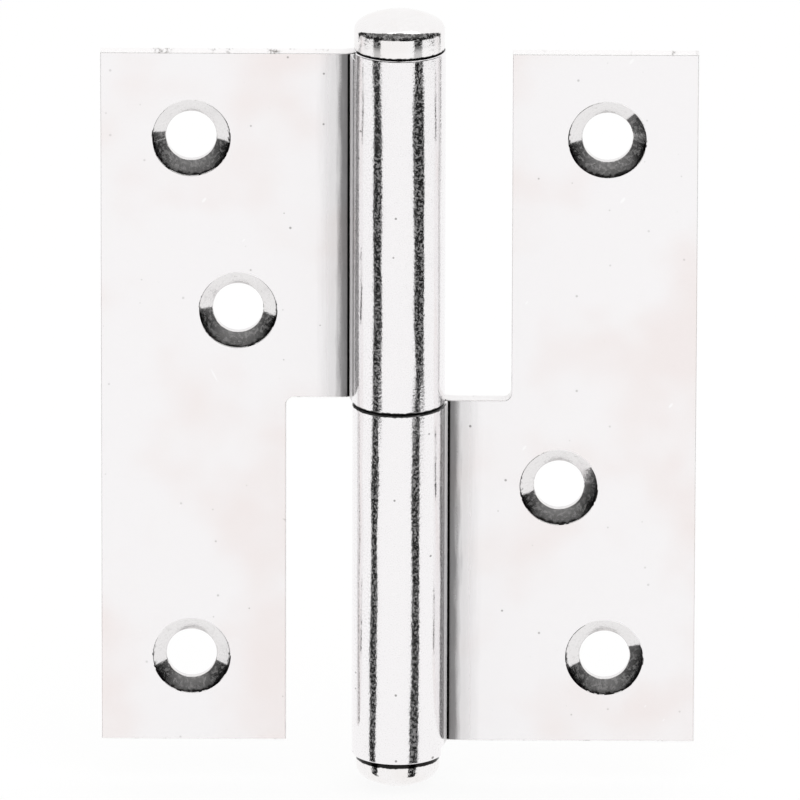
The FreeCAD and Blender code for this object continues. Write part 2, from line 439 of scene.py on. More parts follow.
@dataclass(frozen=True)
class ShearedEdge:
    """Zinc plate over a sheared steel edge: a burnished band, then the torn part of the cut."""

    # To the eye: a duller, paler band than the sheet, with short tears across it and a few dark patches
    name: str = "zinc_plate_on_sheared_edge"
    colour: str = "#f5f3f3"
    torn: str = "#8a8683"
    patch_mm: Triple = (3.0, 12.0, 3.0)
    patch_band: Point = (0.54, 0.66)
    streak_mm: Triple = (0.5, 1.7, 0.5)
    streak_band: Point = (0.4, 0.7)
    tear_mm: Triple = (0.3, 1.5, 0.3)
    tear_depth_mm: float = 0.016
    roughness: float = 0.3
    torn_roughness: float = 0.25
    seam_share: float = 0.95
    matt: float = 0.55

    def build(self) -> bpy.types.Material:
        """Builds the finish: tear lines, dark patches along the cut, painted shade in the knuckles' seams.

        Returns:
            The finished material.
        """
        n = NodeCanvas(self.name)
        patch = n.add(Step.RAMP, n.blobs(self.patch_mm, detail=3.0), *self.patch_band)
        streak = n.add(Step.RAMP, n.blobs(self.streak_mm, detail=3.0), *self.streak_band)
        torn = n.add(Step.MULTIPLY, patch, streak)
        colour = n.add(Step.BLEND, torn, linear(self.colour), linear(self.torn))
        radius = n.radius(n.axes())
        # Painted shade: the knuckles' end faces inside the roll's outer radius are dark, as they lie in the
        # seams and under cap and head
        seam = n.add(Step.RAMP, radius, ROLL_RADIUS - 0.2, ROLL_RADIUS + 0.1, self.seam_share, 0.0)
        colour = n.add(Step.BLEND, seam, colour, linear(SHADE_COLOUR))
        rough = n.add(Step.RAMP, torn, 0.0, 1.0, self.roughness, self.roughness + self.torn_roughness)
        tear = n.add(Step.BUMP, n.blobs(self.tear_mm, detail=2.0), self.tear_depth_mm * MM)
        return n.metal(colour, rough, tear, self.matt)


@dataclass(frozen=True)
class PressedSink:
    """Zinc plate in a pressed countersink."""

    # To the eye: a mirror cone, coarser than the sheet around it, that greys towards the hole.
    # Its pits are finer in reality, and here they are drawn as coarse as they need to show.
    name: str = "zinc_plate_in_countersink"
    colour: str = "#e9e7e7"
    stain: str = "#a5a2a0"
    stain_mm: float = 0.8
    stain_band: Point = (0.58, 0.8)
    stain_share: float = 0.3
    # Painted shade along the lower mouth: where it starts and how dark it is
    lip_band: Point = (0.78, 0.95)
    lip_share: float = 0.9
    roughness: float = 0.1
    pit_mm: float = 0.45
    pit_band: Point = (0.5, 0.6)
    pit_share: float = 0.12
    clean_lip: Point = (0.6, 0.9)
    depth_band: Point = (0.1, 0.85)
    depth_share: float = 0.09
    speckle_mm: float = 0.4
    speckle_depth_mm: float = 0.004

    def build(self) -> bpy.types.Material:
        """Builds the finish: fine pits, faint stains, and painted shade along the lower part of the
        countersink's mouth.

        Returns:
            The finished material.
        """
        n = NodeCanvas(self.name)
        stain = n.add(Step.RAMP, n.blobs(self.stain_mm, detail=4.0), *self.stain_band, 0.0, self.stain_share)
        colour = n.add(Step.BLEND, stain, linear(self.colour), linear(self.stain))
        # Painted shade: a dark band along the lower part of the mouth, where the rim's edge falls in shade
        lip = add_node(n.tree, "ShaderNodeAttribute", attribute_name=LIP_NAME).outputs["Fac"]
        painted_shade = n.add(Step.RAMP, n.ragged(lip, size=0.5, amount=0.12), *self.lip_band, 0.0, self.lip_share)
        colour = n.add(Step.BLEND, painted_shade, colour, linear(SHADE_COLOUR))
        pits = n.add(Step.RAMP, n.blobs(self.pit_mm, detail=2.0), *self.pit_band, 0.0, self.pit_share)
        below_lip = n.add(Step.MULTIPLY, pits, n.add(Step.RAMP, lip, *self.clean_lip, 1.0, 0.0))
        deep = n.add(Step.RAMP, lip, *self.depth_band, self.depth_share, 0.0)
        speckle = n.add(Step.BUMP, n.blobs(self.speckle_mm, detail=1.0), self.speckle_depth_mm * MM)
        return n.metal(colour, self.roughness, speckle, n.add(Step.ADD, deep, below_lip))


@dataclass(frozen=True)
class TurnedZinc:
    """Zinc plate on a turned steel head or cap, with a painted line of shade where it meets the knuckle."""

    # To the eye: a bright button with soft, slightly broken reflections and a black line under it.
    # Turning lines of about 0.1 mm are drawn twice as wide, so that they show.
    name: str = "zinc_plate_on_turned_steel"
    colour: str = "#f5f3f3"
    blush: str = "#f2efee"
    mottle_mm: float = 5.0
    mottle_band: Point = (0.42, 0.7)
    # Painted shade where cap and head meet the knuckle: its widths and how dark it is
    cap_line_mm: float = 0.35
    head_line_mm: float = 0.75
    line_edge_mm: float = 0.06
    line_share: float = 0.985
    roughness: float = 0.09
    patch_mm: float = 1.2
    grain_mm: float = 0.35
    grain_depth_mm: float = 0.012
    turning_mm: Triple = (4.4, 4.4, 0.22)
    turning_depth_mm: float = 0.0015
    pit_band: Point = (0.49, 0.6)
    pit_share: float = 0.2
    worn_above_mm: Point = (0.8, 2.4)
    worn_share: float = 0.6

    def build(self) -> bpy.types.Material:
        """Builds the finish: turning lines round the axis under fine grain, worn low on the cap.

        Returns:
            The finished material.
        """
        n = NodeCanvas(self.name)
        mottle = n.add(Step.RAMP, n.blobs(self.mottle_mm, detail=3.0), *self.mottle_band)
        colour = n.add(Step.BLEND, mottle, linear(self.colour), linear(self.blush))
        height = n.axes()["Z"]
        # Painted shade: a dark line round the cap and the head where they meet the knuckle's ends, narrower
        # on the cap
        past_end = n.add(Step.SUBTRACT, n.add(Step.ABSOLUTE, height), KNUCKLE_END)
        away = n.ragged(n.add(Step.ABSOLUTE, past_end), size=0.6, amount=0.08)
        width = n.add(Step.RAMP, height, -1.0, 1.0, self.head_line_mm, self.cap_line_mm)
        beyond = n.add(Step.SUBTRACT, away, width)
        line = n.add(Step.RAMP, beyond, -self.line_edge_mm, self.line_edge_mm, self.line_share, 0.0)
        colour = n.add(Step.BLEND, line, colour, linear(SHADE_COLOUR))
        pits = n.add(Step.RAMP, n.blobs(self.grain_mm, detail=1.0), *self.pit_band, 0.0, self.pit_share)
        start, end = (KNUCKLE_END + rise for rise in self.worn_above_mm)
        low = n.add(Step.RAMP, height, start, end, self.worn_share, 0.0)
        worn = n.add(Step.MULTIPLY, low, n.add(Step.ABOVE, height, 0.0))
        beside_line = n.add(Step.SUBTRACT, 1.0, line)
        matt = n.add(Step.MULTIPLY, n.add(Step.LARGER, pits, worn), beside_line)
        rough = n.uneven(self.roughness, self.patch_mm, detail=3.0)
        grain = n.add(Step.BUMP, n.blobs(self.grain_mm, detail=2.0), self.grain_depth_mm * MM)
        lines = n.add(Step.BUMP, n.blobs(self.turning_mm, detail=1.0), self.turning_depth_mm * MM, grain)
        return n.metal(colour, rough, lines, matt)


@dataclass(frozen=True)
class GroundShank:
    """Ground steel of the pin's shank with a film of grease."""

    # To the eye: grey satin steel ringed by fine lines, with brownish smears.
    # Real grinding lines are finer than 0.1 mm, and here they are drawn as coarse as they need to show.
    name: str = "ground_steel_with_grease"
    colour: str = "#c9c7c4"
    grease: str = "#7d756a"
    smear_mm: Triple = (6.0, 6.0, 15.0)
    smear_band: Point = (0.45, 0.7)
    smear_share: float = 0.7
    roughness: float = 0.26
    grease_roughness: float = 0.2
    grinding_mm: Triple = (3.0, 3.0, 0.18)
    grinding_depth_mm: float = 0.003

    def build(self) -> bpy.types.Material:
        """Builds the finish: grinding lines round the shank and patches of grease.

        Returns:
            The finished material.
        """
        n = NodeCanvas(self.name)
        dark_spread = n.add(Step.RAMP, n.blobs(self.smear_mm, detail=4.0), *self.smear_band, 0.0, self.smear_share)
        colour = n.add(Step.BLEND, dark_spread, linear(self.colour), linear(self.grease))
        greasy = self.roughness + self.grease_roughness
        rough = n.add(Step.RAMP, dark_spread, 0.0, self.smear_share, self.roughness, greasy)
        lines = n.add(Step.BUMP, n.blobs(self.grinding_mm, detail=2.0), self.grinding_depth_mm * MM)
        return n.metal(colour, rough, lines)


@dataclass(frozen=True)
class Palette:
    """Every metal finish of the hinge, built once."""

    sheet: bpy.types.Material
    sheared: bpy.types.Material
    sink: bpy.types.Material
    turned: bpy.types.Material
    shank: bpy.types.Material

    @classmethod
    def build(cls) -> "Palette":
        """Returns the finished materials."""
        return cls(ZincSheet().build(), ShearedEdge().build(), PressedSink().build(),
                   TurnedZinc().build(), GroundShank().build())


def polar(radius: float, angle: float, centre: Point = (0.0, 0.0)) -> Point:
    """Point at an angle, in degrees from the first axis, about a centre."""
    turn = math.radians(angle)
    return (centre[0] + radius * math.cos(turn), centre[1] + radius * math.sin(turn))


def sweep(radius: float, start: float, end: float, centre: Point, step: float) -> list[Point]:
    """Points along an arc, both ends included, no further apart than step degrees."""
    count = max(1, math.ceil(abs(end - start) / step))
    return [polar(radius, start + (end - start) * i / count, centre) for i in range(count + 1)]


def link(name: str, mesh: bpy.types.Mesh) -> bpy.types.Object:
    """Puts a mesh into the scene as an object at the origin.

    Args:
        name: name of the object.
        mesh: its mesh.
    Returns:
        The new object.
    """
    obj = bpy.data.objects.new(name, mesh)
    bpy.context.scene.collection.objects.link(obj)
    return obj


def link_work(name: str, work: bmesh.types.BMesh) -> bpy.types.Object:
    """Turns a finished working mesh into an object of the scene.

    Args:
        name: name of the object.
        work: working mesh, which is freed.
    Returns:
        The new object.
    """
    mesh = bpy.data.meshes.new(name)
    work.to_mesh(mesh)
    work.free()
    return link(name, mesh)


def bake(obj: bpy.types.Object) -> None:
    """Replaces an object's mesh by what its modifiers make of it, and removes them.

    Args:
        obj: object with live modifiers.
    """
    graph = bpy.context.evaluated_depsgraph_get()
    graph.update()
    made = obj.evaluated_get(graph)
    mesh = bpy.data.meshes.new_from_object(made, preserve_all_data_layers=True, depsgraph=graph)
    obj.modifiers.clear()
    old = obj.data
    obj.data = mesh
    bpy.data.meshes.remove(old)
    mesh.name = obj.name


def prism(name: str, outline: list[Point], low: float, high: float, plane: str = "XY") -> bpy.types.Object:
    """Straight prism over a closed outline.

    Args:
        name: name of the object.
        outline: corners in order, two numbers each.
        low: start of the prism along the third axis.
        high: end of the prism along the third axis.
        plane: "XY" for a prism along Z, "XZ" for one along Y.
    Returns:
        The new object.
    """
    work = bmesh.new()
    rings = []
    for level in (low, high):
        spots = [(a, b, level) if plane == "XY" else (a, level, b) for a, b in outline]
        rings.append([work.verts.new(spot) for spot in spots])
    count = len(outline)
    for i in range(count):
        after = (i + 1) % count
        work.faces.new((rings[0][i], rings[0][after], rings[1][after], rings[1][i]))
    work.faces.new(rings[0])
    work.faces.new(rings[1])
    bmesh.ops.recalc_face_normals(work, faces=work.faces)
    return link_work(name, work)


def cut(obj: bpy.types.Object, cutters: list[bpy.types.Object]) -> None:
    """Cuts each cutter out of the object and removes the cutters.

    Args:
        obj: object that is cut.
        cutters: closed shapes to take away.
    """
    for cutter in cutters:
        tool = obj.modifiers.new(cutter.name, "BOOLEAN")
        tool.operation = "DIFFERENCE"
        tool.solver = "EXACT"
        tool.object = cutter
    bake(obj)
    for cutter in cutters:
        mesh = cutter.data
        bpy.data.objects.remove(cutter)
        bpy.data.meshes.remove(mesh)


@dataclass(frozen=True)
class ScrewHoles:
    """Three countersunk screw holes of a leaf, drilled by a Geometry Nodes tree."""

    hole_radius: float = 3.5
    sink_radius: float = 5.45
    sink_depth: float = 1.3
    outer_reach: float = 28.9
    outer_pitch: float = 75.4
    middle_reach: float = 22.4
    middle_rise: float = 12.8
    sides: int = 96
    cone_proud: float = 0.5
    drill_spare: float = 4.0

    def centres(self) -> list[Point]:
        """Returns where the holes lie on the blank: distance from the pin axis and height."""
        half = self.outer_pitch / 2
        return [(self.outer_reach, -half), (self.outer_reach, half), (self.middle_reach, -self.middle_rise)]

    def tree(self) -> bpy.types.NodeTree:
        """Sets drills and countersinks out on points, and cuts them from the blank.

        Returns:
            The node tree with named inputs for all sizes.
        """
        tree = bpy.data.node_groups.new("countersunk_holes", "GeometryNodeTree")
        face = tree.interface
        face.new_socket("Geometry", in_out="OUTPUT", socket_type="NodeSocketGeometry")
        face.new_socket("Geometry", in_out="INPUT", socket_type="NodeSocketGeometry")
        lengths = ("Hole Radius", "Mouth Radius", "Cone Depth", "Cone Foot", "Drill Length", "Sheet Middle")
        for name in lengths:
            face.new_socket(name, in_out="INPUT", socket_type="NodeSocketFloat")
        for name in ("First Hole", "Pitch", "Middle Hole"):
            face.new_socket(name, in_out="INPUT", socket_type="NodeSocketVector")
        face.new_socket("Sides", in_out="INPUT", socket_type="NodeSocketInt")
        face.new_socket("Finish", in_out="INPUT", socket_type="NodeSocketMaterial")
        given = add_node(tree, "NodeGroupInput").outputs
        pair = add_node(tree, "GeometryNodeMeshLine", {
            "Count": 2, "Start Location": given["First Hole"], "Offset": given["Pitch"]}, mode="OFFSET")
        single = add_node(tree, "GeometryNodeMeshLine", {
            "Count": 1, "Start Location": given["Middle Hole"]}, mode="OFFSET")
        points = add_node(tree, "GeometryNodeJoinGeometry")
        for line in (single, pair):
            tree.links.new(line.outputs["Mesh"], points.inputs["Geometry"])
        drill = add_node(tree, "GeometryNodeMeshCylinder", {
            "Vertices": given["Sides"], "Radius": given["Hole Radius"], "Depth": given["Drill Length"]})
        cone = add_node(tree, "GeometryNodeMeshCone", {
            "Vertices": given["Sides"], "Radius Top": given["Mouth Radius"],
            "Radius Bottom": given["Hole Radius"], "Depth": given["Cone Depth"]})
        leaf = given["Geometry"]
        for shape, level in ((drill, given["Sheet Middle"]), (cone, given["Cone Foot"])):
            spot = add_node(tree, "ShaderNodeCombineXYZ", {"Y": level})
            turned = add_node(tree, "GeometryNodeTransform", {
                "Geometry": shape.outputs["Mesh"], "Translation": spot.outputs["Vector"],
                "Rotation": (math.pi / 2, 0.0, 0.0)})
            copies = add_node(tree, "GeometryNodeInstanceOnPoints", {
                "Points": points.outputs["Geometry"], "Instance": turned.outputs["Geometry"]})
            real = add_node(tree, "GeometryNodeRealizeInstances", {"Geometry": copies.outputs["Instances"]})
            plated = add_node(tree, "GeometryNodeSetMaterial", {
                "Geometry": real.outputs["Geometry"], "Material": given["Finish"]})
            taken = add_node(tree, "GeometryNodeMeshBoolean", {"Mesh 1": leaf}, operation="DIFFERENCE",
                             solver="EXACT")
            tree.links.new(plated.outputs["Geometry"], taken.inputs["Mesh 2"])
            leaf = taken.outputs["Mesh"]
        add_node(tree, "NodeGroupOutput", {"Geometry": leaf})
        return tree

    def drill(self, leaf: bpy.types.Object, finish: bpy.types.Material) -> None:
        """Drills the holes into a leaf.

        Args:
            leaf: blank in millimetres, on the +X side, tongue downwards.
            finish: material of the hole's walls.
        """
        slope = (self.sink_radius - self.hole_radius) / self.sink_depth
        tool = leaf.modifiers.new("screw holes", "NODES")
        tree = self.tree()
        values = {
            "Hole Radius": self.hole_radius,
            "Mouth Radius": self.sink_radius + slope * self.cone_proud,
            "Cone Depth": self.sink_depth + self.cone_proud,
            "Cone Foot": SET_BACK + self.sink_depth,
            "Drill Length": SHEET + self.drill_spare,
            "Sheet Middle": SET_BACK + SHEET / 2,
            "First Hole": (self.outer_reach, 0.0, -self.outer_pitch / 2),
            "Pitch": (0.0, 0.0, self.outer_pitch),
            "Middle Hole": (self.middle_reach, 0.0, -self.middle_rise),
            "Sides": self.sides,
            "Finish": finish,
        }
        tool.node_group = tree
        for item in tree.interface.items_tree:
            if item.in_out == "INPUT" and item.name in values:
                tool[item.identifier] = values[item.name]
        bake(leaf)
        bpy.data.node_groups.remove(tree)


@dataclass(frozen=True)
class RolledLeaf:
    """One leaf: stamped sheet with a half-height tongue rolled into a knuckle."""

    side: Side
    holes: ScrewHoles = ScrewHoles()
    half_height: float = 50.0
    reach: float = 41.5
    notch_reach: float = 15.7
    notch_radius: float = 1.1
    joggle_angle: float = 20.0
    joggle_radius: float = 4.0
    roll_end_angle: float = 348.0
    roll_gap: float = 0.45
    seam: float = 0.15
    end_round: float = 0.2
    edge_round: float = 0.14
    round_steps: int = 3
    sharp_angle: float = 25.0
    arc_step: float = 3.0
    corner_step: float = 9.0
    cutter_reach: float = 60.0
    roll_end_slope: float = 0.75
    leaf_end_slope: float = 0.25
    side_slope: float = 0.75
    lip_level: float = 0.95
    lip_slope: float = 0.35

    def section(self) -> list[Point]:
        """Draws the bent sheet in the XY plane, as the CAD section has it.

        Returns:
            The closed outline: front face from the leaf to the roll's end, then the back face.
        """
        lean = math.radians(self.joggle_angle)
        middle_radius = BORE_RADIUS + SHEET / 2
        middle_line = SET_BACK + SHEET / 2
        corner = (middle_radius - middle_line * math.cos(lean)) / math.sin(lean)
        bend_start = corner + self.joggle_radius * math.tan(lean / 2)
        bend_centre = (bend_start, middle_line + self.joggle_radius)
        end_turn = math.radians(self.roll_end_angle)
        heading = (-math.sin(end_turn), math.cos(end_turn))
        normal = (math.sin(lean), math.cos(lean))
        outer_stop = polar(ROLL_RADIUS, self.roll_end_angle)
        to_stop = normal[0] * outer_stop[0] + normal[1] * outer_stop[1]
        slope = normal[0] * heading[0] + normal[1] * heading[1]
        straight = (BORE_RADIUS - self.roll_gap - to_stop) / slope

        def face(line: float, bend_radius: float, ring_radius: float) -> list[Point]:
            """Draws one face of the sheet.

            Args:
                line: depth of the flat leaf's face.
                bend_radius: radius of the joggle's bend on this face.
                ring_radius: radius of the roll on this face.
            Returns:
                Points from the leaf's outer end to the roll's end.
            """
            bend = sweep(bend_radius, -90.0, -90.0 - self.joggle_angle, bend_centre, self.arc_step)
            roll_start = 90.0 - self.joggle_angle
            ring = sweep(ring_radius, roll_start, self.roll_end_angle, (0.0, 0.0), self.arc_step)
            tip = (ring[-1][0] + straight * heading[0], ring[-1][1] + straight * heading[1])
            return [(self.reach, line), *bend, *ring, tip]

        front = face(SET_BACK, self.joggle_radius + SHEET / 2, BORE_RADIUS)
        back = face(SET_BACK + SHEET, self.joggle_radius - SHEET / 2, ROLL_RADIUS)
        return front + back[::-1]

    def cutters(self) -> list[bpy.types.Object]:
        """Makes what is cut from the rolled blank.

        Returns:
            The notch, and the sheet past the leaf's two ends.
        """
        far = self.cutter_reach
        centre = (self.notch_reach - self.notch_radius, -self.seam + self.notch_radius)
        corner = sweep(self.notch_radius, -90.0, 0.0, centre, self.corner_step)
        outline = [(-far, -self.seam), *corner, (self.notch_reach, far), (-far, far)]
        made = [prism("notch", outline, -far, far, "XZ")]
        flat = ROLL_RADIUS * math.cos(math.radians(self.joggle_angle))
        ends = (("low end", -far, -self.half_height), ("high end", self.half_height, far))
        for name, start, stop in ends:
            outline = [(flat, start), (far, start), (far, stop), (flat, stop)]
            made.append(prism(name, outline, -far, far, "XZ"))
        return made

    def weigh_edges(self, mesh: bpy.types.Mesh) -> None:
        """Marks which edges are rounded, and how much: the knuckle's ends most, inner corners not at all.

        Args:
            mesh: the cut leaf, in millimetres.
        """
        work = bmesh.new()
        work.from_mesh(mesh)
        weight = work.edges.layers.float.new("bevel_weight_edge")
        ends = (-KNUCKLE_END, -self.seam)
        for edge in work.edges:
            if len(edge.link_faces) != 2 or edge.calc_face_angle(0.0) < math.radians(self.sharp_angle):
                continue
            if edge.calc_face_angle_signed(0.0) < 0:
                edge.smooth = False
                continue
            middle = (edge.verts[0].co + edge.verts[1].co) / 2
            round_part = abs(math.hypot(middle.x, middle.y) - ROLL_RADIUS) < 0.05
            at_end = any(abs(v.co.z - level) < 1e-3 for level in ends for v in edge.verts)
            edge[weight] = 1.0 if round_part and at_end else self.edge_round / self.end_round
        work.to_mesh(mesh)
        work.free()

    def build(self, finish: Palette) -> bpy.types.Object:
        """Builds the leaf as a smooth mesh with rounded edges.

        Args:
            finish: the hinge's materials.
        Returns:
            The leaf in metres, at its own side of the pin.
        """
        leaf = prism(self.side.value + "_plated", self.section(), -KNUCKLE_END, KNUCKLE_END)
        leaf.data.materials.append(finish.sheet)
        cut(leaf, self.cutters())
        self.holes.drill(leaf, finish.sink)
        self.weigh_edges(leaf.data)
        leaf.data.polygons.foreach_set("use_smooth", [True] * len(leaf.data.polygons))
        rounding = leaf.modifiers.new("sheared edges", "BEVEL")
        rounding.limit_method = "WEIGHT"
        rounding.width = self.end_round
        rounding.segments = self.round_steps
        rounding.use_clamp_overlap = False
        rounding.harden_normals = True
        bake(leaf)
        self.dress(leaf, finish)
        turn = Matrix.Rotation(math.pi, 4, "Y") if self.side is Side.DOOR else Matrix.Identity(4)
        leaf.data.transform(Matrix.Scale(MM, 4) @ turn)
        return leaf

    def dress(self, leaf: bpy.types.Object, finish: Palette) -> None:
        """Gives the sheared faces their own finish, and leaves sheet and countersinks as they are.

        Args:
            leaf: the rounded leaf, in millimetres.
            finish: the hinge's materials.
        """
        mesh = leaf.data
        mesh.materials.append(finish.sheared)
        names = [material.name if material else "" for material in mesh.materials]
        sheared = names.index(finish.sheared.name)
        sink = names.index(finish.sink.name)
        self.mark_lips(mesh, sink)
        for polygon in mesh.polygons:
            if polygon.material_index == sink:
                continue
            on_roll = math.hypot(polygon.center.x, polygon.center.y) < ROLL_RADIUS + 0.1
            end_slope = self.roll_end_slope if on_roll else self.leaf_end_slope
            past_notch = polygon.center.x > self.notch_reach - 0.6
            upright = past_notch and abs(polygon.normal.x) > self.side_slope
            if upright or abs(polygon.normal.z) > end_slope:
                polygon.material_index = sheared

    def mark_lips(self, mesh: bpy.types.Mesh, sink: int) -> None:
        """Stores how near each point of a countersink is to its lower lip, where the painted shade lies.

        Args:
            mesh: the rounded leaf, in millimetres.
            sink: index of the countersinks' material.
        """
        holes = self.holes
        lip = mesh.attributes.new(LIP_NAME, "FLOAT", "POINT")
        upwards = 1.0 if self.side is Side.FRAME else -1.0
        for polygon in mesh.polygons:
            if polygon.material_index != sink:
                continue
            for index in polygon.vertices:
                spot = mesh.vertices[index].co
                centre = min(holes.centres(), key=lambda c: math.hypot(spot.x - c[0], spot.z - c[1]))
                rise = upwards * (spot.z - centre[1]) / holes.sink_radius
                near = 1.0 - (spot.y - SET_BACK) / holes.sink_depth
                low = min(1.0, self.lip_level - self.lip_slope * rise)
                lip.data[index].value = min(1.0, max(0.0, near)) * low

    def place(self, finish: Palette) -> bpy.types.Object:
        """Builds the leaf and puts it in for its CAD node.

        Args:
            finish: the hinge's materials.
        Returns:
            The leaf, on its body.
        """
        leaf = self.build(finish)
        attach(leaf, self.side.value)
        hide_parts(self.side.value)
        return leaf


def lathe(name: str, profile: list[Point], steps: int = 96, crisp_angle: float = 32.0) -> bpy.types.Object:
    """Turns a profile about Z.

    Args:
        name: name of the object.
        profile: (radius, height) points from one end on the axis to the other.
        steps: number of steps round the axis.
        crisp_angle: angle in degrees from which a corner stays crisp.
    Returns:
        The new object, smooth between its crisp corners.
    """
    work = bmesh.new()
    turns = [2 * math.pi * i / steps for i in range(steps)]
    rings = []
    for radius, height in profile:
        if radius < 1e-6:
            rings.append([work.verts.new((0.0, 0.0, height))])
            continue
        rings.append([work.verts.new((radius * math.cos(t), radius * math.sin(t), height)) for t in turns])
    for lower, upper in zip(rings, rings[1:]):
        for i in range(steps):
            after = (i + 1) % steps
            corners = [ring[j % len(ring)] for ring, j in (
                (lower, i), (lower, after), (upper, after), (upper, i))]
            work.faces.new(list(dict.fromkeys(corners)))
    bmesh.ops.recalc_face_normals(work, faces=work.faces)
    for face in work.faces:
        face.smooth = True
    for edge in work.edges:
        edge.smooth = edge.calc_face_angle(0.0) < math.radians(crisp_angle)
    return link_work(name, work)


@dataclass(frozen=True)
class TurnedButton:
    """A turned stem with a wider domed head; the head's foot lies at height 0, the dome upwards."""

    stem_radius: float
    stem_length: float
    stem_chamfer: float
    head_radius: float
    head_wall: float
    head_round: float
    dome_height: float
    foot_chamfer: float = 0.25

    def dome(self) -> list[Point]:
        """Draws the round shoulder and the flatter crown, tangent to each other.

        Returns:
            The profile from the top of the wall to the axis.
        """
        reach = self.head_radius - self.head_round
        squares = reach ** 2 + self.dome_height ** 2 - self.head_round ** 2
        crown = squares / (2 * (self.dome_height - self.head_round))
        centre = self.head_wall + self.dome_height - crown
        meet = math.degrees(math.atan2(self.head_wall - centre, reach))
        shoulder = sweep(self.head_round, 0.0, meet, (reach, self.head_wall), step=4.0)
        rest = sweep(crown, meet, 90.0, (0.0, centre), step=2.0)
        return shoulder + rest[1:-1] + [(0.0, self.head_wall + self.dome_height)]

    def profile(self) -> list[Point]:
        """Draws the whole half profile.

        Returns:
            The points from the stem's end up to the crown.
        """
        stem = [
            (0.0, -self.stem_length),
            (self.stem_radius - self.stem_chamfer, -self.stem_length),
            (self.stem_radius, self.stem_chamfer - self.stem_length),
            (self.stem_radius, 0.0),
            (self.head_radius - self.foot_chamfer, 0.0),
            (self.head_radius, self.foot_chamfer),
        ]
        return stem + self.dome()


@dataclass(frozen=True)
class TopCap(TurnedButton):
    """Domed button whose spigot is pressed into the upper knuckle."""

    stem_radius: float = BORE_RADIUS
    stem_length: float = 7.0
    stem_chamfer: float = 0.5
    head_radius: float = 6.3
    head_wall: float = 2.75
    head_round: float = 1.5
    dome_height: float = 2.75

    def place(self, finish: Palette) -> bpy.types.Object:
        """Builds the cap and puts it in for its CAD node.

        Args:
            finish: the hinge's materials.
        Returns:
            The cap, on the door leaf's body.
        """
        cap = lathe("top_cap_plated", self.profile())
        cap.data.materials.append(finish.turned)
        cap.data.transform(Matrix.Scale(MM, 4) @ Matrix.Translation((0, 0, KNUCKLE_END)))
        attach(cap, Side.DOOR.value)
        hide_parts("top_cap")
        return cap


@dataclass(frozen=True)
class HingePin(TurnedButton):
    """Fixed pin with a domed head under the lower knuckle."""

    stem_radius: float = 4.0
    stem_length: float = 95.2
    stem_chamfer: float = 0.8
    head_radius: float = 5.85
    head_wall: float = 1.6
    head_round: float = 2.0
    dome_height: float = 3.2

    def place(self, finish: Palette) -> bpy.types.Object:
        """Builds the pin head down, and puts it in for its CAD node.

        Args:
            finish: the hinge's materials.
        Returns:
            The pin, on its own body, with a ground shank and a plated head.
        """
        pin = lathe("hinge_pin_plated", self.profile())
        for material in (finish.turned, finish.shank):
            pin.data.materials.append(material)
        under_foot = -0.01
        for polygon in pin.data.polygons:
            polygon.material_index = 1 if polygon.center.z < under_foot else 0
        half_turn = Matrix.Rotation(math.pi, 4, "Y")
        pin.data.transform(Matrix.Scale(MM, 4) @ Matrix.Translation((0, 0, -KNUCKLE_END)) @ half_turn)
        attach(pin, "hinge_pin")
        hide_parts("hinge_pin")
        return pin


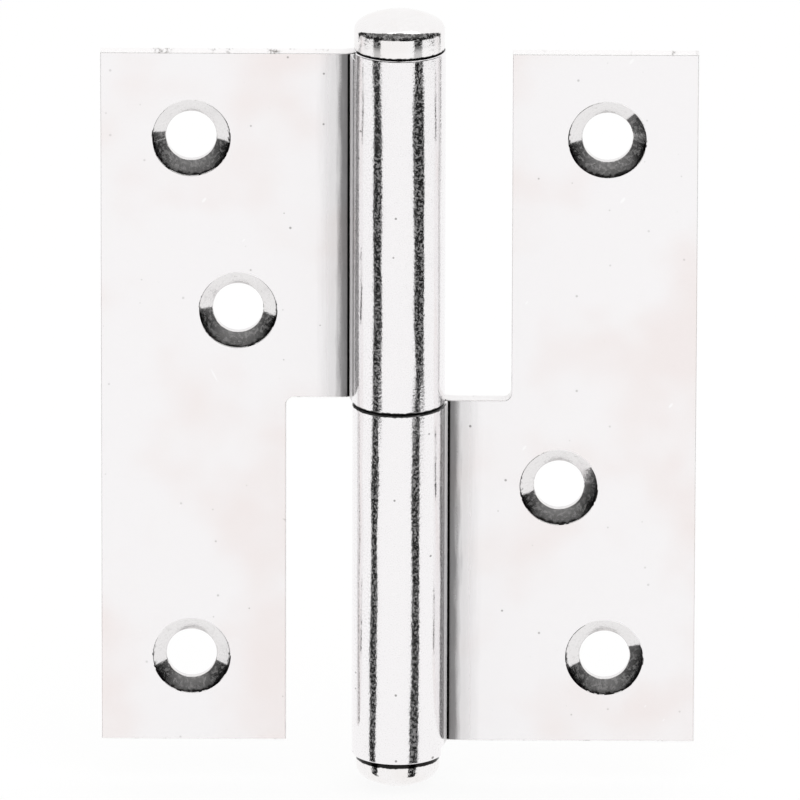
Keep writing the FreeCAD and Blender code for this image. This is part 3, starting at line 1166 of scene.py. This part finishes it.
@dataclass(frozen=True)
class Studio:
    """White studio: world, floor, softbox, camera, and dark strips and a hood that only reflections see."""

    azimuth: float = -0.478
    elevation: float = 16.93
    roll: float = 0.156
    focal_px: float = 17232.0
    distance_m: float = 2.4
    shift_px: Point = (-1.42, 2.24)
    sensor_mm: float = 36.0
    sight_m: float = 50.0
    floor_half_m: float = 3.0
    floor_glow: float = 0.86
    softbox_side_m: float = 0.7
    softbox_m: Triple = (0.15, -0.2, 0.9)
    cloth_columns: int = 64
    cloth_rows: int = 24
    cloth_fade_mm: Point = (120.0, 430.0)
    strip_distance_m: float = 0.15
    # Elevation and the bearings of both edges in degrees, from the bottom up; equal elevations are a step
    strip_left: tuple[Triple, ...] = (
        (-56, -69, -60), (-40, -74.5, -57), (-16.3, -68, -48), (-16.3, -65.3, -39.5),
        (-6, -65, -42.5), (2.2, -63.8, -45), (2.2, -68, -48), (12, -68, -48))
    strip_right: tuple[Triple, ...] = (
        (-56, 30, 50), (-40, 29, 51), (-16.3, 36, 54.2), (-16.3, 43, 65),
        (2.2, 31.5, 64.7), (2.2, 37, 59), (12, 37, 59))
    hood_distance_m: float = 0.6
    hood_reach: float = 127.0
    hood_crown: float = 88.0
    hood_end: Point = (-12.5, -3.0)

    def world(self) -> None:
        """Surrounds the scene with even white light."""
        world = bpy.data.worlds.new("white studio")
        world.use_nodes = True
        world.node_tree.nodes.clear()
        sky = add_node(world.node_tree, "ShaderNodeBackground", {"Color": (1, 1, 1, 1), "Strength": 1.0})
        add_node(world.node_tree, "ShaderNodeOutputWorld", {"Surface": sky.outputs["Background"]})
        bpy.context.scene.world = world

    def paper(self) -> bpy.types.Material:
        """Builds the floor's white paper.

        Returns:
            A matt material that glows a little where it is seen, so that only soft shadows are left on it.
        """
        # To the eye: plain white paper
        material = bpy.data.materials.new("white_paper_floor")
        material.use_nodes = True
        tree = material.node_tree
        tree.nodes.clear()
        rays = add_node(tree, "ShaderNodeLightPath").outputs
        sight = {0: rays["Is Camera Ray"], 1: rays["Is Glossy Ray"]}
        seen = add_node(tree, "ShaderNodeMath", sight, operation="ADD").outputs[0]
        sight = {0: seen, 1: rays["Is Transmission Ray"]}
        shown = add_node(tree, "ShaderNodeMath", sight, operation="ADD", use_clamp=True).outputs[0]
        amount = add_node(tree, "ShaderNodeMath", {0: shown, 1: self.floor_glow}, operation="MULTIPLY")
        paper = add_node(tree, "ShaderNodeBsdfDiffuse", {"Color": linear("#f7f7f6")})
        glow = add_node(tree, "ShaderNodeEmission", {"Color": (1, 1, 1, 1), "Strength": 1.0})
        layers = {0: amount.outputs[0], 1: paper.outputs[0], 2: glow.outputs[0]}
        both = add_node(tree, "ShaderNodeMixShader", layers)
        add_node(tree, "ShaderNodeOutputMaterial", {"Surface": both.outputs[0]})
        return material

    def floor(self) -> None:
        """Lays the floor under the pin's head."""
        half = self.floor_half_m
        level = CAD_BOX[0][2]
        corners = [(-half, -half, level), (half, -half, level), (half, half, level), (-half, half, level)]
        mesh = bpy.data.meshes.new("floor")
        mesh.from_pydata(corners, [], [(0, 1, 2, 3)])
        mesh.materials.append(self.paper())
        floor = link("floor", mesh)
        floor.visible_glossy = False

    def dark_cloth(self) -> bpy.types.Material:
        """Builds the material of the dark surfaces.

        Returns:
            Black cloth, greyer high up.
        """
        # To the eye: a matt black, so that bright plate shows it as dark bands with clean edges
        n = NodeCanvas("black_cloth")
        fade = n.add(Step.RAMP, n.axes()["Z"], *self.cloth_fade_mm)
        colour = n.add(Step.BLEND, fade, linear("#1f1f1f"), linear("#646464"))
        cloth = add_node(n.tree, "ShaderNodeBsdfDiffuse", {"Color": colour})
        add_node(n.tree, "ShaderNodeOutputMaterial", {"Surface": cloth.outputs[0]})
        return n.material

    def drape(self, name: str, distance_m: float, spot: Callable[[float, float], Point],
              cloth: bpy.types.Material) -> None:
        """Stands a dark surface round the hinge that only reflections see.

        Args:
            name: name of the surface.
            distance_m: distance from the origin.
            spot: gives bearing and elevation, in degrees, for two shares from 0 to 1 across and up.
            cloth: its material.
        """
        columns = self.cloth_columns
        rows = self.cloth_rows
        verts = []
        for i in range(columns + 1):
            for j in range(rows + 1):
                turn, rise = (math.radians(angle) for angle in spot(i / columns, j / rows))
                flat = distance_m * math.cos(rise)
                verts.append((flat * math.sin(turn), -flat * math.cos(turn), distance_m * math.sin(rise)))
        step = rows + 1
        faces = [(i * step + j, i * step + j + 1, (i + 1) * step + j + 1, (i + 1) * step + j)
                 for i in range(columns) for j in range(rows)]
        mesh = bpy.data.meshes.new(name)
        mesh.from_pydata(verts, [], faces)
        mesh.materials.append(cloth)
        drape = link(name, mesh)
        for part in ("camera", "diffuse", "transmission", "volume_scatter", "shadow"):
            setattr(drape, "visible_" + part, False)

    @staticmethod
    def on_strip(start: Triple, end: Triple, across: float, up: float) -> Point:
        """Bearing and elevation on the length of a strip between two stations."""
        rise, left, right = (a + (b - a) * up for a, b in zip(start, end))
        return (left + (right - left) * across, rise)

    def on_hood(self, across: float, up: float) -> Point:
        """Finds a spot on the hood, which is low and narrow at its two ends.

        Args:
            across: share of the way from the left end to the right one.
            up: share of the way from the lower edge to the upper one.
        Returns:
            Bearing and elevation in degrees.
        """
        share = 2 * across - 1
        low = self.hood_end[0] * abs(share)
        high = self.hood_end[1] + (self.hood_crown - self.hood_end[1]) * math.cos(share * math.pi / 2)
        return (self.hood_reach * share, low + (high - low) * up)

    def strip(self, name: str, stations: tuple[Triple, ...], cloth: bpy.types.Material) -> None:
        """Hangs an upright strip beside the camera, in lengths that need not be in line.

        Args:
            name: name of the strip.
            stations: elevation and the bearings of both edges, in degrees, from the bottom up.
            cloth: its material.
        """
        for number, (start, end) in enumerate(zip(stations, stations[1:])):
            if end[0] > start[0]:
                spot = partial(self.on_strip, start, end)
                self.drape(f"{name}_{number}", self.strip_distance_m, spot, cloth)

    def lamp(self) -> None:
        """Hangs a large softbox overhead, as bright as the white round it."""
        data = bpy.data.lights.new("softbox", "AREA")
        data.shape = "SQUARE"
        data.size = self.softbox_side_m
        data.energy = math.pi * self.softbox_side_m * self.softbox_side_m
        lamp = bpy.data.objects.new("softbox", data)
        lamp.location = self.softbox_m
        lamp.rotation_euler = (-Vector(self.softbox_m)).to_track_quat("-Z", "Y").to_euler()
        bpy.context.scene.collection.objects.link(lamp)

    def camera(self) -> None:
        """Sets the camera at the photograph's viewing angle, far off with a long lens."""
        turn = math.radians(self.azimuth)
        rise = math.radians(self.elevation)
        tilt = math.radians(self.roll)
        ahead = Vector((math.sin(turn) * math.cos(rise), math.cos(turn) * math.cos(rise), -math.sin(rise)))
        right = Vector((math.cos(turn), -math.sin(turn), 0.0))
        up = right.cross(ahead)
        across = math.cos(tilt) * right + math.sin(tilt) * up
        above = math.cos(tilt) * up - math.sin(tilt) * right
        data = bpy.data.cameras.new("camera")
        data.sensor_width = self.sensor_mm
        data.sensor_fit = "HORIZONTAL"
        data.lens = self.focal_px / IMAGE_SIDE * self.sensor_mm
        data.shift_x = -self.shift_px[0] / IMAGE_SIDE
        data.shift_y = self.shift_px[1] / IMAGE_SIDE
        data.clip_end = self.sight_m
        camera = bpy.data.objects.new("camera", data)
        eye = -self.distance_m * ahead
        rows = [(across[i], above[i], -ahead[i], eye[i]) for i in range(3)]
        camera.matrix_world = Matrix((*rows, (0.0, 0.0, 0.0, 1.0)))
        bpy.context.scene.collection.objects.link(camera)
        bpy.context.scene.camera = camera

    def build(self) -> None:
        """Sets up the whole studio."""
        self.world()
        self.floor()
        self.lamp()
        cloth = self.dark_cloth()
        self.strip("strip_left", self.strip_left, cloth)
        self.strip("strip_right", self.strip_right, cloth)
        self.drape("hood", self.hood_distance_m, self.on_hood, cloth)
        self.camera()
        bpy.context.scene.view_settings.view_transform = "Standard"


def main() -> None:
    """Builds the hinge's pieces and its studio, and reports each piece."""
    logging.basicConfig(level=logging.INFO, format="%(message)s")
    finish = Palette.build()
    pieces = [RolledLeaf(side) for side in Side] + [TopCap(), HingePin()]
    for piece in pieces:
        made = piece.place(finish)
        LOG.info("%s: %d faces", made.name, len(made.data.polygons))
    Studio().build()


if __name__ == "__main__":
    main()
